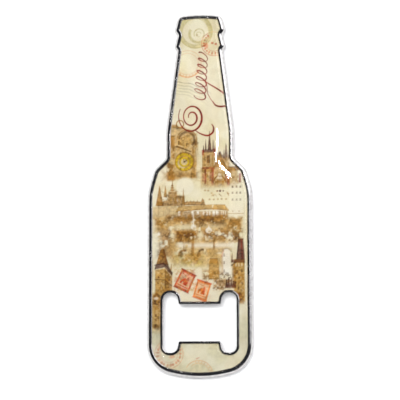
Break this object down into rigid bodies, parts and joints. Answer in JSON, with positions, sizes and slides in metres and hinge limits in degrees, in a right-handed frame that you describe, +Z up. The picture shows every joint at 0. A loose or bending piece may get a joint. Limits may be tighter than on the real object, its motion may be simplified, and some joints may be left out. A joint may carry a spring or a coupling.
{
  "type": "souvenir bottle opener",
  "caption": "Flat bottle-shaped opener with a raised plated rim, a printed picture under a clear dome, magnets in the back and a crown-cap opening near its base.",
  "frame": {"origin": "middle of the length and width, on the back face that the opener rests on", "axes": "+X across the bottle, +Y along it from its base towards its cap, +Z up through the thickness towards the printed front"},
  "size_m": [0.042, 0.146, 0.004],
  "materials": {
    "plating": "bright nickel plating with a faint orange-peel surface from the casting",
    "film": "pressure-sensitive adhesive film",
    "picture": "cream card printed in sepia, ochre and brick red",
    "resin": "water-clear cast resin with a rounded edge",
    "magnet": "satin nickel plate",
    "glue": "cured two-part adhesive"
  },
  "bodies": {
    "root": {"opener_body": "plating", "picture_film": "film", "printed_picture": "picture", "resin_dome": "resin", "magnet_upper": "magnet", "magnet_lower": "magnet", "magnet_glue_upper": "glue", "magnet_glue_lower": "glue"}
  },
  "joints": []
}
